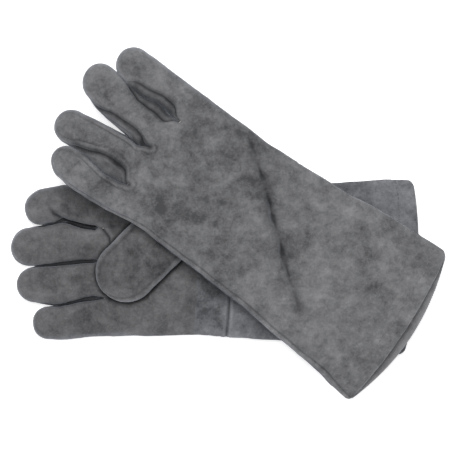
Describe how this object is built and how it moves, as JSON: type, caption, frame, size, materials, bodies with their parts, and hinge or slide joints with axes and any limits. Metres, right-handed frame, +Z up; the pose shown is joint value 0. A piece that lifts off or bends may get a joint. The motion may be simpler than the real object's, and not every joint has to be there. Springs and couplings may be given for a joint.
{
  "type": "heat resistant glove pair",
  "caption": "Pair of long suede gauntlet gloves, left back up across right palm up, with lined hands and separately bending fingers, thumbs and cuffs.",
  "frame": {"origin": "on the floor, under the centre of the pair's bounding box", "axes": "+Z up from the floor, +X from the fingertips towards the cuffs of the lower glove, +Y to the side the upper glove's fingers point to"},
  "size_m": [0.386, 0.3067, 0.0654],
  "materials": {
    "suede_back": "napped suede",
    "suede_palm": "napped suede",
    "suede_fourchette": "napped suede",
    "suede_welt": "napped suede",
    "fleece_lining": "brushed fleece",
    "canvas_lining": "plain weave",
    "thread": "twisted thread"
  },
  "bodies": {
    "right_hand": {"right_hand_back": "suede_back", "right_hand_palm": "suede_palm", "right_hand_lining": "fleece_lining", "right_hand_welts": "suede_welt", "right_fourchette_crotches": "suede_fourchette"},
    "right_index": {"right_index_back": "suede_back", "right_index_front": "suede_palm", "right_index_fourchette": "suede_fourchette", "right_index_lining": "fleece_lining"},
    "right_middle": {"right_middle_back": "suede_back", "right_middle_front": "suede_palm", "right_middle_fourchette": "suede_fourchette", "right_middle_lining": "fleece_lining"},
    "right_ring": {"right_ring_back": "suede_back", "right_ring_front": "suede_palm", "right_ring_fourchette": "suede_fourchette", "right_ring_lining": "fleece_lining"},
    "right_little": {"right_little_back": "suede_back", "right_little_front": "suede_palm", "right_little_fourchette": "suede_fourchette", "right_little_lining": "fleece_lining"},
    "right_thumb": {"right_thumb_outer": "suede_back", "right_thumb_inner": "suede_palm", "right_thumb_lining": "fleece_lining"},
    "right_cuff": {"right_cuff_back": "suede_back", "right_cuff_palm": "suede_palm", "right_cuff_lining": "canvas_lining", "right_cuff_hem": "suede_back", "right_cuff_welts": "suede_welt", "right_hem_stitches": "thread"},
    "left_hand": {"left_hand_back": "suede_back", "left_hand_palm": "suede_palm", "left_hand_lining": "fleece_lining", "left_hand_welts": "suede_welt", "left_fourchette_crotches": "suede_fourchette"},
    "left_index": {"left_index_back": "suede_back", "left_index_front": "suede_palm", "left_index_fourchette": "suede_fourchette", "left_index_lining": "fleece_lining"},
    "left_middle": {"left_middle_back": "suede_back", "left_middle_front": "suede_palm", "left_middle_fourchette": "suede_fourchette", "left_middle_lining": "fleece_lining"},
    "left_ring": {"left_ring_back": "suede_back", "left_ring_front": "suede_palm", "left_ring_fourchette": "suede_fourchette", "left_ring_lining": "fleece_lining"},
    "left_little": {"left_little_back": "suede_back", "left_little_front": "suede_palm", "left_little_fourchette": "suede_fourchette", "left_little_lining": "fleece_lining"},
    "left_thumb": {"left_thumb_outer": "suede_back", "left_thumb_inner": "suede_palm", "left_thumb_lining": "fleece_lining"},
    "left_cuff": {"left_cuff_back": "suede_back", "left_cuff_palm": "suede_palm", "left_cuff_lining": "canvas_lining", "left_cuff_hem": "suede_back", "left_cuff_welts": "suede_welt", "left_hem_stitches": "thread"}
  },
  "joints": [
    {"name": "left_glove_lift", "type": "slide", "parent": "right_hand", "child": "left_hand", "axis": [0, 0, 1], "range_m": [0, 0.15]},
    {"name": "left_index_bend", "type": "hinge", "parent": "left_hand", "child": "left_index", "pos_m": [-0.04037, 0.10532, 0.05334], "axis": [-0.617, -0.7869, 0], "range_deg": [-15, 60]},
    {"name": "left_middle_bend", "type": "hinge", "parent": "left_hand", "child": "left_middle", "pos_m": [-0.06594, 0.08348, 0.05313], "axis": [-0.6414, -0.7672, 0], "range_deg": [-15, 60]},
    {"name": "left_ring_bend", "type": "hinge", "parent": "left_hand", "child": "left_ring", "pos_m": [-0.08785, 0.05473, 0.05313], "axis": [-0.5045, -0.8634, 0], "range_deg": [-15, 20]},
    {"name": "left_little_bend", "type": "hinge", "parent": "left_hand", "child": "left_little", "pos_m": [-0.10018, 0.02553, 0.05337], "axis": [-0.4679, -0.8838, 0], "range_deg": [-15, 15]},
    {"name": "left_thumb_swing", "type": "hinge", "parent": "left_hand", "child": "left_thumb", "pos_m": [0.00511, 0.05289, 0.0327], "axis": [0, 0, 1], "range_deg": [-25, 0]},
    {"name": "left_cuff_fold", "type": "hinge", "parent": "left_hand", "child": "left_cuff", "pos_m": [0.02236, 0.0031, 0.05162], "axis": [-0.6088, -0.7934, 0], "range_deg": [0, 45]},
    {"name": "right_index_bend", "type": "hinge", "parent": "right_hand", "child": "right_index", "pos_m": [-0.1098, 0.01302, 0.01061], "axis": [-0.0035, 1, 0], "range_deg": [-10, 20]},
    {"name": "right_middle_bend", "type": "hinge", "parent": "right_hand", "child": "right_middle", "pos_m": [-0.11855, -0.02093, 0.0105], "axis": [-0.0314, 0.9995, 0], "range_deg": [-10, 60]},
    {"name": "right_ring_bend", "type": "hinge", "parent": "right_hand", "child": "right_ring", "pos_m": [-0.12027, -0.05457, 0.0105], "axis": [-0.0541, 0.9985, 0], "range_deg": [-10, 60]},
    {"name": "right_little_bend", "type": "hinge", "parent": "right_hand", "child": "right_little", "pos_m": [-0.11391, -0.08554, 0.01065], "axis": [-0.0698, 0.9976, 0], "range_deg": [-10, 60]},
    {"name": "right_thumb_swing", "type": "hinge", "parent": "right_hand", "child": "right_thumb", "pos_m": [-0.0426, -0.00376, 0.0327], "axis": [0, 0, 1], "range_deg": [-25, 0]},
    {"name": "right_cuff_fold", "type": "hinge", "parent": "right_hand", "child": "right_cuff", "pos_m": [-0.00018, -0.03503, 0.0118], "axis": [0.0523, 0.9986, 0], "range_deg": [0, 45]}
  ]
}
